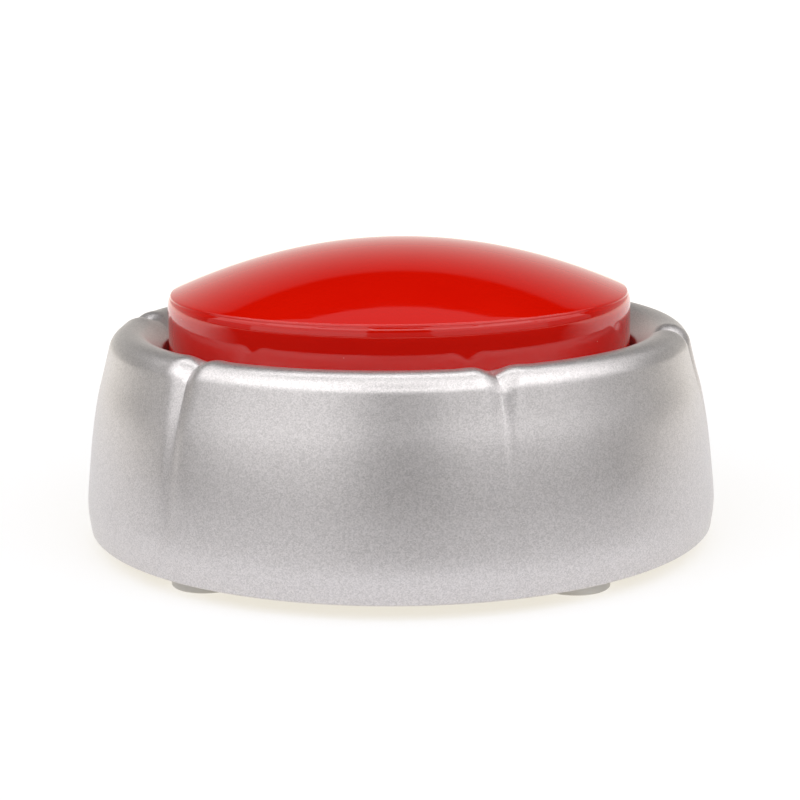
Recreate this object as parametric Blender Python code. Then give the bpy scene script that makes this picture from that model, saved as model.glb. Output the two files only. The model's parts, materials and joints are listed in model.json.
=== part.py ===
"""Quiz buzzer: a silver ring housing with a large domed push button.

Every number is in millimetres until a mesh or a placement is made, where MM turns it into metres.
The floor is Z = 0, +Z is up, and the front of the buzzer faces -Y. Azimuths are in degrees,
measured from the front (-Y) towards +X.
"""

from math import cos, pi, radians, sin, sqrt

import bmesh
import bpy

MM = 0.001
GAP = 0.3                       # free space between two pieces that rest on each other

# Housing ring
SHELL_FOOT_Z = 2.0              # lower edge of the ring
SHELL_WIDEST_R = 47.57
RIM_R = 40.29                   # crest of the rounded rim
RIM_CENTRE_Z = 28.51
RIM_ROUND = 3.35                # radius of the rounded rim
RIM_START = 16.0                # angle on the rim's round where the outer wall meets it
RIM_END = 128.0                 # and where the slope down to the button begins
WALL = 1.9
THROAT_R = 36.3                 # well that the button slides in
THROAT_OUTER_R = 37.5
LIP_R = 35.55                   # inward lip that keeps the button in
LIP_TOP_Z = 29.0
LIP_UNDER_Z = 24.5
THROAT_FOOT_Z = 20.7
CREASE_COUNT = 6
CREASE_AZIMUTH = 17.9
CREASE_DEPTH = 1.0
CREASE_END_Z = 6.5              # the creases run out towards this height
CREASE_FULL_Z = 30.5

# Button
TRAVEL = 2.5
BUTTON_R = 34.3
BUTTON_EDGE_Z = 36.86
DOME_HEIGHT = 7.5
SKIRT_R = 34.7
SKIRT_TOP_Z = 35.3              # the side wall flares out between the edge and this height
SKIRT_INNER_R = 32.45
FLANGE_R = 36.0
FLANGE_TOP_Z = LIP_UNDER_Z - GAP
FLANGE_FOOT_Z = FLANGE_TOP_Z - 1.0
CAP_WALL = 2.0
CARRIER_R = 32.1
CARRIER_FOOT_Z = 27.0
CARRIER_TOP_Z = 29.0
GUIDE_RING_R = 25.0
GUIDE_AZIMUTHS = (60.0, 180.0, 300.0)
POST_R = 2.2
POST_FOOT_Z = 19.4
SLEEVE_R = 3.8
SLEEVE_BORE_R = 2.55
SLEEVE_TOP_Z = 23.9
SPRING_R = 4.6
SPRING_WIRE_R = 0.3
SPRING_TURNS = 3.5
CARRIER_SCREW_RING_R = 14.0

# Chassis plate under the button
CHASSIS_R = 36.4
CHASSIS_FOOT_Z = 18.6
CHASSIS_TOP_Z = 20.4
EAR_RING_R = 39.7
EAR_R = 3.4
EAR_AZIMUTHS = (0.0, 120.0, 240.0)
SWITCH_HOLE_R = 5.4

# Circuit board and tactile switch
BOARD_X = 17.0
BOARD_FRONT_Y = -24.0
BOARD_REAR_Y = 12.0
BOARD_FOOT_Z = 16.6
BOARD_TOP_Z = 18.2
BOARD_SCREWS = ((-13.5, -20.0), (13.5, -20.0))
SWITCH_HALF = 3.0
SWITCH_TOP_Z = 21.9
STEM_R = 1.7
STEM_TOP_Z = 23.0
STEM_TRAVEL = 0.25
ACTUATOR_FOOT_Z = STEM_TOP_Z - STEM_TRAVEL + TRAVEL + 0.15

# Base plate, feet and case screws
BASE_R = 44.9
BASE_FOOT_Z = 2.3
BASE_TOP_Z = 4.3
FOOT_RING_R = 39.9
CASE_SCREW_RING_R = 39.4
FOOT_AZIMUTHS = (-42.6, 36.4, 137.4, 216.4)
FOOT_R = 5.0
FOOT_TOP_Z = BASE_FOOT_Z - GAP
PILLAR_R = 3.8
PILLAR_TOP_Z = 6.8
HEAD_SEAT_Z = 5.0

# Battery bay, for two AAA cells lying along X
BAY_X = 24.5
BAY_FRONT_Y = 0.5
BAY_REAR_Y = 22.8
BAY_TOP_Z = 15.3
BAY_WALL = 1.6
LEDGE = 0.8                     # the door is this much wider than the bay, all round
LEDGE_Z = 4.1
FIT = 0.35                      # clearance round the door
CELL_R = 5.25
CELL_BODY = 43.5
CELL_NUB = 1.0
CELL_NUB_R = 1.9
CELL_Z = 9.8
CELL_YS = (6.05, 17.25)
CONTACT_X = 23.8                # inner face of the contact plates
DOOR_TOP_Z = 3.8
DOOR_SCREW_X = 29.0
EAR_TAB_R = 3.35
DOOR_HINGE = (FIT - BAY_X - LEDGE, (BAY_FRONT_Y + BAY_REAR_Y) / 2, BASE_FOOT_Z)
TONGUE_YS = (1.9, 21.4)
TONGUE_HALF = 1.1
TONGUE_FOOT_Z = 4.6
TONGUE_TOP_Z = 5.8

# Wires, each routed from its terminal to the circuit board
LEAD_ROUTES = {
    "battery_lead_plus": [(24.5, 17.25, 12.0), (27.0, 17.25, 12.2), (28.3, 16.8, 14.2), (27.0, 14.6, 16.9),
                          (22.5, 11.2, 17.4), (17.3, 9.0, 17.4)],
    "battery_lead_minus": [(24.5, 6.05, 12.0), (27.0, 6.05, 12.2), (28.3, 5.6, 14.2), (27.0, 4.4, 16.9),
                           (22.5, 2.6, 17.4), (17.3, 1.6, 17.4)],
    "speaker_lead_1": [(-9.5, -11.4, 5.7), (-9.6, -11.2, 7.8), (-10.4, -9.4, 10.4), (-11.0, -8.0, 13.4),
                       (-11.0, -7.8, 16.3)],
    "speaker_lead_2": [(-11.6, -14.1, 5.7), (-11.7, -13.9, 7.8), (-13.2, -11.2, 10.4), (-14.0, -8.8, 13.4),
                       (-14.0, -8.5, 16.3)],
}
LEAD_R = 0.45
LEAD_SLOT_HALF = 0.8

# Loudspeaker, facing down behind slots in the base plate
SPEAKER_Y = -21.0
SPEAKER_R = 14.2
SPEAKER_SEAT_Z = BASE_TOP_Z + GAP
SLOT_PITCH = 3.4
SLOT_HALF_WIDTH = 0.8
SLOT_FIELD_R = 11.6

SILVER = ("silver_paint", (0.50, 0.49, 0.51), 0.34, 0.85)
RED = ("red_gloss_plastic", (0.62, 0.01, 0.005), 0.08, 0.0)
DARK = ("charcoal_plastic", (0.05, 0.05, 0.055), 0.5, 0.0)
NATURAL = ("natural_plastic", (0.62, 0.61, 0.57), 0.45, 0.0)
RUBBER = ("grey_rubber", (0.22, 0.22, 0.23), 0.75, 0.0)
STEEL = ("zinc_plated_steel", (0.62, 0.62, 0.6), 0.32, 1.0)
NICKEL = ("nickel_plate", (0.68, 0.66, 0.6), 0.25, 1.0)
BOARD = ("board_green", (0.02, 0.16, 0.06), 0.4, 0.0)
CHIP = ("black_epoxy", (0.02, 0.02, 0.02), 0.45, 0.0)
CELL = ("battery_sleeve", (0.12, 0.18, 0.3), 0.35, 0.2)
FERRITE = ("dark_ferrite", (0.09, 0.09, 0.1), 0.55, 0.3)
RED_WIRE = ("red_wire", (0.55, 0.02, 0.02), 0.45, 0.0)
BLACK_WIRE = ("black_wire", (0.02, 0.02, 0.02), 0.45, 0.0)
PAPER = ("black_cone_paper", (0.03, 0.03, 0.03), 0.85, 0.0)


def clear_scene():
    for item in list(bpy.data.objects):
        bpy.data.objects.remove(item, do_unlink=True)


def material(spec):
    name, colour, roughness, metallic = spec
    found = bpy.data.materials.get(name)
    if found:
        return found
    made = bpy.data.materials.new(name)
    made.use_nodes = True
    shader = made.node_tree.nodes["Principled BSDF"]
    shader.inputs["Base Color"].default_value = (*colour, 1.0)
    shader.inputs["Roughness"].default_value = roughness
    shader.inputs["Metallic"].default_value = metallic
    return made


def polar(radius, azimuth, z=0.0):
    """Point at an azimuth measured from the front, as (x, y, z)."""
    turn = radians(azimuth)
    return (radius * sin(turn), -radius * cos(turn), z)


# ---------------------------------------------------------------- meshes

def finished(bm, name):
    bmesh.ops.recalc_face_normals(bm, faces=bm.faces)
    mesh = bpy.data.meshes.new(name)
    bm.to_mesh(mesh)
    bm.free()
    mesh.shade_smooth()
    mesh.set_sharp_from_angle(angle=radians(32))
    return mesh


def skin(name, rings, closed):
    """Mesh over rings of points in mm: a loop of rings, or a row with a flat cap or a tip at each end."""
    bm = bmesh.new()
    loops = [[bm.verts.new([v * MM for v in point]) for point in ring] for ring in rings]
    follow = loops[1:] + loops[:1] if closed else loops[1:]
    for near, far in zip(loops, follow):
        steps = max(len(near), len(far))
        for i in range(steps):
            j = (i + 1) % steps
            corners = [near[i % len(near)], near[j % len(near)], far[j % len(far)], far[i % len(far)]]
            bm.faces.new(list(dict.fromkeys(corners)))
    if not closed:
        for cap in (loops[0], loops[-1]):
            if len(cap) > 1:
                bm.faces.new(cap)
    return finished(bm, name)


def turned(name, profile, steps, closed=False):
    """Mesh turned about Z from (radius, z) points. A profile that isn't closed gets flat ends."""
    rings = []
    for radius, z in profile:
        if radius == 0.0:
            rings.append([(0.0, 0.0, z)])
        else:
            rings.append([polar(radius, 360.0 * i / steps, z) for i in range(steps)])
    return skin(name, rings, closed)


def cylinder(name, radius, low, high, steps=24):
    return turned(name, [(radius, low), (radius, high)], steps)


def box(name, low, high, round_off=0.0):
    bm = bmesh.new()
    bmesh.ops.create_cube(bm, size=1.0)
    for vert in bm.verts:
        vert.co = [((a + b) / 2 + (b - a) * v) * MM for a, b, v in zip(low, high, vert.co)]
    if round_off:
        bmesh.ops.bevel(bm, geom=bm.edges, offset=round_off * MM, segments=1, affect="EDGES")
    return finished(bm, name)


def prism(name, outline, low, high):
    """Upright prism over a flat outline of (x, y) points."""
    bm = bmesh.new()
    floor = [bm.verts.new((x * MM, y * MM, low * MM)) for x, y in outline]
    roof = [bm.verts.new((x * MM, y * MM, high * MM)) for x, y in outline]
    bm.faces.new(floor[::-1])
    bm.faces.new(roof)
    for i in range(len(outline)):
        j = (i + 1) % len(outline)
        bm.faces.new((floor[i], floor[j], roof[j], roof[i]))
    return finished(bm, name)


def side_prism(name, outline, low_y, high_y):
    """Prism along Y over a flat outline of (x, z) points."""
    bm = bmesh.new()
    near = [bm.verts.new((x * MM, low_y * MM, z * MM)) for x, z in outline]
    far = [bm.verts.new((x * MM, high_y * MM, z * MM)) for x, z in outline]
    bm.faces.new(near)
    bm.faces.new(far[::-1])
    for i in range(len(outline)):
        j = (i + 1) % len(outline)
        bm.faces.new((near[i], far[i], far[j], near[j]))
    return finished(bm, name)


def coil(name, radius, wire_r, low, high, turns, steps=12, sides=5):
    """Round-wire coil spring about Z, between two heights."""
    count = int(turns * steps)
    rings = []
    for i in range(count + 1):
        share = i / count
        angle = 2 * pi * turns * share
        middle_z = low + wire_r + (high - low - 2 * wire_r) * share
        ring = []
        for k in range(sides):
            side = 2 * pi * k / sides
            reach = radius + wire_r * cos(side)
            ring.append((reach * cos(angle), reach * sin(angle), middle_z + wire_r * sin(side)))
        rings.append(ring)
    return skin(name, rings, closed=False)


def stadium(centre_y, half_length, half_width, steps=5):
    """Outline of a slot along X with round ends."""
    points = []
    for end in (1, -1):
        for i in range(steps + 1):
            angle = -pi / 2 + pi * i / steps
            x = end * (half_length - half_width + half_width * cos(angle))
            points.append((x, centre_y + end * half_width * sin(angle)))
    return points


# ---------------------------------------------------------------- objects

def empty(name, at):
    made = bpy.data.objects.new(name, None)
    made.empty_display_size = 5 * MM
    made.location = [v * MM for v in at]
    bpy.context.scene.collection.objects.link(made)
    return made


def place(name, mesh, spec, at=(0.0, 0.0, 0.0), parent=None, turn=(0.0, 0.0, 0.0)):
    """Object with its origin at a world point in mm, held by a parent empty."""
    made = bpy.data.objects.new(name, mesh)
    made.location = [v * MM for v in at]
    made.rotation_euler = [radians(v) for v in turn]
    if spec:
        mesh.materials.append(material(spec))
    bpy.context.scene.collection.objects.link(made)
    if parent:
        made.parent = parent
        made.location = [v * MM - p for v, p in zip(at, parent.location)]
    return made


def combine(target, meshes, operation):
    """Join or cut one object with meshes set at world points, given as (mesh, point)."""
    for mesh, at in meshes:
        tool = place("tool_" + mesh.name, mesh, None, at)
        tool.hide_render = True
        tool.display_type = "WIRE"
        change = target.modifiers.new(tool.name, "BOOLEAN")
        change.operation = operation
        change.object = tool


def screw(name, at, head_r, head_high, shank_r, length, parent=None):
    """Pan-head screw pointing up, its head's underside at the given point."""
    profile = [(head_r * 0.7, -head_high), (head_r, -head_high * 0.55), (head_r, 0.0)]
    profile += [(shank_r, 0.0), (shank_r, length - shank_r), (0.0, length)]
    return place(name, turned(name, profile, 12), STEEL, at, parent)


# ---------------------------------------------------------------- housing ring

def shell_outer_wall():
    """Outer wall from the lower edge to where the rim's round begins, as (radius, z)."""
    wall = [(46.85, SHELL_FOOT_Z), (47.25, SHELL_FOOT_Z + 0.4), (SHELL_WIDEST_R, 6.15), (47.08, 11.4)]
    wall += [(46.43, 16.7), (45.49, 21.9), (44.35, 26.2)]
    return wall


def rim_arc(radius, start, end, count):
    points = []
    for i in range(count):
        angle = radians(start + (end - start) * i / (count - 1))
        points.append((RIM_R + radius * cos(angle), RIM_CENTRE_Z + radius * sin(angle)))
    return points


def crease_share(z):
    """How deep a crease is at a height: full at the rim, slight on the wall, nothing low down."""
    reach = min(1.0, max(0.0, (z - CREASE_END_Z) / (CREASE_FULL_Z - CREASE_END_Z)))
    return 0.35 * reach + 0.65 * reach ** 6


def upper_shell(parent):
    outside = shell_outer_wall() + rim_arc(RIM_ROUND, RIM_START, RIM_END, 6)
    throat = [(LIP_R + 0.25, LIP_TOP_Z + 0.1), (LIP_R, LIP_TOP_Z - 0.25), (LIP_R, LIP_UNDER_Z)]
    throat += [(THROAT_R, LIP_UNDER_Z), (THROAT_R, THROAT_FOOT_Z), (THROAT_OUTER_R, THROAT_FOOT_Z)]
    throat.append((THROAT_OUTER_R, 26.0))
    inside = rim_arc(RIM_ROUND - WALL, 180.0, RIM_START, 4)
    inside += [(43.55, 21.9), (44.5, 16.7), (45.15, 11.4), (45.3, SHELL_FOOT_Z)]
    azimuths = []
    for k in range(CREASE_COUNT):
        start = CREASE_AZIMUTH + 360.0 / CREASE_COUNT * k
        azimuths += [start + step for step in (-3.8, -1.9, 0.0, 1.9, 3.8)]
        azimuths += [start + 10.5 + 7.5 * i for i in range(6)]
    fold = {-3.8: -0.1, -1.9: 0.45, 0.0: 1.0, 1.9: 0.45, 3.8: -0.1}
    rings = []
    for radius, z in outside + throat + inside:
        depth = crease_share(z) * CREASE_DEPTH if (radius, z) in outside else 0.0
        slope = max(0.0, z - RIM_CENTRE_Z) / RIM_ROUND
        ring = []
        for i, azimuth in enumerate(azimuths):
            step = round(azimuth - CREASE_AZIMUTH - 360.0 / CREASE_COUNT * (i // 11), 1)
            sink = depth * fold.get(step, 0.0)
            ring.append(polar(radius - sink * (1.0 - slope), azimuth, z - sink * slope))
        rings.append(ring)
    shell = place("upper_shell", skin("upper_shell", rings, closed=True), SILVER, parent=parent)
    bosses = [(cylinder(f"case_boss_{i}", 2.6, PILLAR_TOP_Z + GAP, 27.0, 16), polar(CASE_SCREW_RING_R, a))
              for i, a in enumerate(FOOT_AZIMUTHS)]
    bosses += [(cylinder(f"chassis_boss_{i}", 2.8, THROAT_FOOT_Z, 27.0, 16), polar(EAR_RING_R, a))
               for i, a in enumerate(EAR_AZIMUTHS)]
    combine(shell, bosses, "UNION")
    bores = [(cylinder(f"case_bore_{i}", 1.4, 5.0, 17.5, 10), polar(CASE_SCREW_RING_R, a))
             for i, a in enumerate(FOOT_AZIMUTHS)]
    bores += [(cylinder(f"chassis_bore_{i}", 1.2, 18.0, 26.2, 10), polar(EAR_RING_R, a))
              for i, a in enumerate(EAR_AZIMUTHS)]
    combine(shell, bores, "DIFFERENCE")


# ---------------------------------------------------------------- button

def dome_z(radius):
    return BUTTON_EDGE_Z + DOME_HEIGHT * (1.0 - (radius / BUTTON_R) ** 2)


def button_cap(axis):
    outside = [(0.0, dome_z(0.0))] + [(r, dome_z(r)) for r in (9.0, 17.0, 24.0, 29.5, 33.4)]
    outside += [(BUTTON_R - 0.2, BUTTON_EDGE_Z), (BUTTON_R, BUTTON_EDGE_Z - 0.35), (SKIRT_R, SKIRT_TOP_Z)]
    outside.append((SKIRT_R, FLANGE_TOP_Z))
    outside += [(FLANGE_R, FLANGE_TOP_Z), (FLANGE_R, FLANGE_FOOT_Z), (SKIRT_INNER_R, FLANGE_FOOT_Z)]
    inside = [(SKIRT_INNER_R, 33.8), (31.2, 35.2)]
    inside += [(r, dome_z(r) - CAP_WALL) for r in (27.0, 19.0, 10.0, 0.0)]
    cap = place("button_cap", turned("button_cap", outside + inside, 48), RED, parent=axis)
    bosses = [(cylinder(f"cap_boss_{i}", 2.3, CARRIER_TOP_Z + GAP, 40.6, 12),
               polar(CARRIER_SCREW_RING_R, a)) for i, a in enumerate(EAR_AZIMUTHS)]
    combine(cap, bosses, "UNION")
    bores = [(cylinder(f"cap_bore_{i}", 1.15, 28.0, 35.5, 10), polar(CARRIER_SCREW_RING_R, a))
             for i, a in enumerate(EAR_AZIMUTHS)]
    combine(cap, bores, "DIFFERENCE")


def button_carrier(axis):
    disc = cylinder("button_carrier", CARRIER_R, CARRIER_FOOT_Z, CARRIER_TOP_Z, 48)
    carrier = place("button_carrier", disc, NATURAL, parent=axis)
    posts = [(cylinder(f"post_{i}", POST_R, POST_FOOT_Z, CARRIER_FOOT_Z + 0.5, 16), polar(GUIDE_RING_R, a))
             for i, a in enumerate(GUIDE_AZIMUTHS)]
    posts.append((cylinder("actuator", 3.0, ACTUATOR_FOOT_Z, CARRIER_FOOT_Z + 0.5, 16), (0.0, 0.0, 0.0)))
    combine(carrier, posts, "UNION")
    holes = [(cylinder(f"carrier_hole_{i}", 1.15, 26.0, 30.0, 10), polar(CARRIER_SCREW_RING_R, a))
             for i, a in enumerate(EAR_AZIMUTHS)]
    combine(carrier, holes, "DIFFERENCE")
    for i, azimuth in enumerate(EAR_AZIMUTHS):
        at = polar(CARRIER_SCREW_RING_R, azimuth, CARRIER_FOOT_Z - GAP)
        screw(f"carrier_screw_{i + 1}", at, 2.0, 1.4, 0.8, 7.0, axis)


def return_springs(parent):
    low = CHASSIS_TOP_Z + GAP
    high = CARRIER_FOOT_Z - GAP
    for i, azimuth in enumerate(GUIDE_AZIMUTHS):
        wire = coil(f"return_spring_{i + 1}", SPRING_R, SPRING_WIRE_R, low, high, SPRING_TURNS)
        place(wire.name, wire, STEEL, polar(GUIDE_RING_R, azimuth), parent)


# ---------------------------------------------------------------- chassis and electronics

def chassis_outline():
    """Disc with a round ear at each fixing screw."""
    outline = []
    for ear in EAR_AZIMUTHS:
        for step in (-5.0, -4.6, -4.0, -2.6, -1.2, 1.2, 2.6, 4.0, 4.6, 5.0):
            across = EAR_RING_R * sin(radians(step))
            reach = EAR_RING_R * cos(radians(step)) + sqrt(max(0.0, EAR_R ** 2 - across ** 2))
            outline.append(polar(CHASSIS_R if abs(step) == 5.0 else reach, ear + step)[:2])
        outline += [polar(CHASSIS_R, ear + 5.0 + 10.0 * i)[:2] for i in range(1, 11)]
    return outline


def chassis(parent):
    plate = prism("chassis", chassis_outline(), CHASSIS_FOOT_Z, CHASSIS_TOP_Z)
    frame = place("chassis", plate, DARK, parent=parent)
    sleeves = [(cylinder(f"sleeve_{i}", SLEEVE_R, CHASSIS_TOP_Z - 0.8, SLEEVE_TOP_Z, 18),
                polar(GUIDE_RING_R, a)) for i, a in enumerate(GUIDE_AZIMUTHS)]
    combine(frame, sleeves, "UNION")
    holes = [(cylinder(f"guide_bore_{i}", SLEEVE_BORE_R, 17.0, 25.0, 16), polar(GUIDE_RING_R, a))
             for i, a in enumerate(GUIDE_AZIMUTHS)]
    holes += [(cylinder(f"ear_hole_{i}", 1.4, 17.0, 22.0, 10), polar(EAR_RING_R, a))
              for i, a in enumerate(EAR_AZIMUTHS)]
    holes += [(cylinder(f"board_pilot_{i}", 1.1, 17.0, 22.0, 10), (x, y, 0.0))
              for i, (x, y) in enumerate(BOARD_SCREWS)]
    holes.append((cylinder("switch_hole", SWITCH_HOLE_R, 17.0, 22.0, 20), (0.0, 0.0, 0.0)))
    combine(frame, holes, "DIFFERENCE")
    for i, azimuth in enumerate(EAR_AZIMUTHS):
        at = polar(EAR_RING_R, azimuth, CHASSIS_FOOT_Z - GAP)
        screw(f"chassis_screw_{i + 1}", at, 2.3, 1.4, 0.9, 7.4, parent)


def circuit_board(parent, stem_axis):
    sheet = box("circuit_board", (-BOARD_X, BOARD_FRONT_Y, BOARD_FOOT_Z),
                (BOARD_X, BOARD_REAR_Y, BOARD_TOP_Z))
    board = place("circuit_board", sheet, BOARD, parent=parent)
    combine(board, [(cylinder(f"board_hole_{i}", 1.2, 15.0, 20.0, 10), (x, y, 0.0))
                    for i, (x, y) in enumerate(BOARD_SCREWS)], "DIFFERENCE")
    for i, (x, y) in enumerate(BOARD_SCREWS):
        screw(f"board_screw_{i + 1}", (x, y, BOARD_FOOT_Z - GAP), 2.0, 1.3, 0.8, 3.8, parent)
    under = BOARD_FOOT_Z - GAP
    chip = box("sound_chip", (-5.0, -15.5, under - 1.3), (5.0, -8.5, under), 0.15)
    place("sound_chip", chip, CHIP, parent=parent)
    drum = turned("capacitor", [(2.2, 0.0), (2.4, 0.3), (2.4, 6.7), (2.2, 7.0)], 16)
    place("capacitor", drum, CELL, (11.0, -12.5, under - 2.4), parent, (-90.0, 0.0, 0.0))
    case = box("switch_body", (-SWITCH_HALF, -SWITCH_HALF, BOARD_TOP_Z + GAP),
               (SWITCH_HALF, SWITCH_HALF, SWITCH_TOP_Z), 0.2)
    body = place("switch_body", case, CHIP, parent=parent)
    combine(body, [(cylinder("stem_bore", 2.0, 20.4, 23.0, 16), (0.0, 0.0, 0.0))], "DIFFERENCE")
    stem = turned("switch_stem", [(STEM_R, 20.9), (STEM_R, STEM_TOP_Z - 0.3), (STEM_R - 0.3, STEM_TOP_Z)], 16)
    place("switch_stem", stem, NATURAL, parent=stem_axis)


def loudspeaker(parent, cone_axis):
    low = SPEAKER_SEAT_Z
    at = (0.0, SPEAKER_Y, 0.0)
    basket = [(12.2, low), (SPEAKER_R, low), (SPEAKER_R, low + 0.8), (12.9, low + 0.8), (9.0, low + 4.0)]
    basket += [(6.0, low + 4.0), (6.0, low + 3.3), (8.6, low + 3.3), (12.2, low + 0.5)]
    place("speaker_frame", turned("speaker_frame", basket, 32, closed=True), STEEL, at, parent)
    magnet_low = low + 4.0 + GAP
    magnet = [(8.6, magnet_low), (8.6, magnet_low + 3.2), (8.2, magnet_low + 3.6)]
    place("speaker_magnet", turned("speaker_magnet", magnet, 24), FERRITE, at, parent)
    cone = [(0.0, low + 1.7), (2.4, low + 2.0), (3.6, low + 2.4), (11.2, low + 0.3)]
    cone += [(11.2, low + 0.6), (3.6, low + 2.8), (0.0, low + 2.2)]
    place("speaker_cone", turned("speaker_cone", cone, 24), PAPER, at, cone_axis)


# ---------------------------------------------------------------- base, battery bay and feet

def base_plate(parent):
    edge = [(BASE_R - 0.4, BASE_FOOT_Z), (BASE_R, BASE_FOOT_Z + 0.4), (BASE_R, BASE_TOP_Z)]
    plate = turned("base_plate", edge, 60)
    base = place("base_plate", plate, DARK, parent=parent)
    middle_y = (BAY_FRONT_Y + BAY_REAR_Y) / 2
    sink = BASE_TOP_Z - 0.8
    low = BASE_FOOT_Z - 1.0
    tub = box("bay_tub", (-BAY_X - BAY_WALL, BAY_FRONT_Y - BAY_WALL, sink),
              (BAY_X + BAY_WALL, BAY_REAR_Y + BAY_WALL, BAY_TOP_Z + 1.0))
    collar = [(14.7, sink), (15.9, sink), (15.9, 7.5), (14.7, 7.5)]
    adds = [(tub, (0.0, 0.0, 0.0))]
    adds.append((turned("speaker_collar", collar, 32, closed=True), (0.0, SPEAKER_Y, 0.0)))
    adds.append((cylinder("door_boss", 4.8, sink, 9.3, 20), (DOOR_SCREW_X, middle_y, 0.0)))
    adds += [(cylinder(f"pillar_{i}", PILLAR_R, sink, PILLAR_TOP_Z, 18), polar(CASE_SCREW_RING_R, a))
             for i, a in enumerate(FOOT_AZIMUTHS)]
    combine(base, adds, "UNION")
    bay = box("bay", (-BAY_X, BAY_FRONT_Y, low), (BAY_X, BAY_REAR_Y, BAY_TOP_Z))
    opening = box("door_opening", (-BAY_X - LEDGE, BAY_FRONT_Y - LEDGE, low),
                  (BAY_X + LEDGE, BAY_REAR_Y + LEDGE, LEDGE_Z))
    tab = [(BAY_X, middle_y - EAR_TAB_R - FIT), (BAY_X, middle_y + EAR_TAB_R + FIT)]
    round_end = [(DOOR_SCREW_X + (EAR_TAB_R + FIT) * cos(pi / 2 - pi * i / 12),
                  middle_y + (EAR_TAB_R + FIT) * sin(pi / 2 - pi * i / 12)) for i in range(13)]
    cuts = [(bay, (0.0, 0.0, 0.0)), (opening, (0.0, 0.0, 0.0))]
    cuts.append((prism("tab_opening", (tab + round_end)[::-1], low, LEDGE_Z), (0.0, 0.0, 0.0)))
    cuts.append((cylinder("door_bore", 1.4, low, 8.6, 12), (DOOR_SCREW_X, middle_y, 0.0)))
    for i, y in enumerate(TONGUE_YS):
        reach = TONGUE_HALF + FIT
        slot = box(f"tongue_slot_{i}", (-BAY_X - BAY_WALL - 1.0, y - reach, LEDGE_Z - 0.5),
                   (-BAY_X + 0.5, y + reach, 7.2))
        cuts.append((slot, (0.0, 0.0, 0.0)))
    for i, y in enumerate(CELL_YS):
        lead_slot = box(f"lead_slot_{i}", (BAY_X - 0.5, y - LEAD_SLOT_HALF, 11.2),
                        (BAY_X + BAY_WALL + 0.5, y + LEAD_SLOT_HALF, 12.9))
        cuts.append((lead_slot, (0.0, 0.0, 0.0)))
    for i, azimuth in enumerate(FOOT_AZIMUTHS):
        at = polar(CASE_SCREW_RING_R, azimuth)
        cuts.append((cylinder(f"head_recess_{i}", 2.7, low, HEAD_SEAT_Z, 16), at))
        cuts.append((cylinder(f"screw_hole_{i}", 1.5, low, 8.0, 12), at))
    for k in range(-3, 4):
        half = sqrt(SLOT_FIELD_R ** 2 - (k * SLOT_PITCH) ** 2)
        outline = stadium(SPEAKER_Y + k * SLOT_PITCH, half, SLOT_HALF_WIDTH)
        slot = prism(f"sound_slot_{k + 3}", outline, low, 5.5)
        cuts.append((slot, (0.0, 0.0, 0.0)))
    combine(base, cuts, "DIFFERENCE")


def battery_door(hinge):
    """Door with a screw tab at one end and two tongues at the other, modelled about its hinge line."""
    hinge_x, middle_y, hinge_z = DOOR_HINGE
    edge_x = -hinge_x
    half_y = (BAY_REAR_Y - BAY_FRONT_Y) / 2 + LEDGE - FIT
    thick = DOOR_TOP_Z - BASE_FOOT_Z
    tab_x = DOOR_SCREW_X - hinge_x
    tab = [(tab_x + EAR_TAB_R * cos(-pi / 2 + pi * i / 12), EAR_TAB_R * sin(-pi / 2 + pi * i / 12))
           for i in range(13)]
    outline = [(0.0, -half_y), (2 * edge_x, -half_y), (2 * edge_x, -EAR_TAB_R)] + tab
    outline += [(2 * edge_x, EAR_TAB_R), (2 * edge_x, half_y), (0.0, half_y)]
    door = place("battery_door", prism("battery_door", outline, 0.0, thick), DARK, DOOR_HINGE, hinge)
    tongues = []
    for i, y in enumerate(TONGUE_YS):
        side = y - middle_y
        low = TONGUE_FOOT_Z - hinge_z
        high = TONGUE_TOP_Z - hinge_z
        hook = [(0.0, thick - 0.5), (0.95, thick - 0.5), (0.95, high)]
        hook += [(-2.25, high), (-2.25, low), (0.0, low)]
        tongues.append((side_prism(f"tongue_{i}", hook, side - TONGUE_HALF, side + TONGUE_HALF), DOOR_HINGE))
    combine(door, tongues, "UNION")
    hole = cylinder("tab_hole", 1.2, BASE_FOOT_Z - 1.0, DOOR_TOP_Z + 1.0, 12)
    seat = cylinder("tab_seat", 2.1, BASE_FOOT_Z - 1.0, BASE_FOOT_Z + 0.8, 16)
    screw_at = (DOOR_SCREW_X, middle_y, 0.0)
    combine(door, [(hole, screw_at), (seat, screw_at)], "DIFFERENCE")
    screw("battery_door_screw", (DOOR_SCREW_X, middle_y, BASE_FOOT_Z + 0.6), 1.8, 0.6, 0.9, 5.4, hinge)


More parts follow.
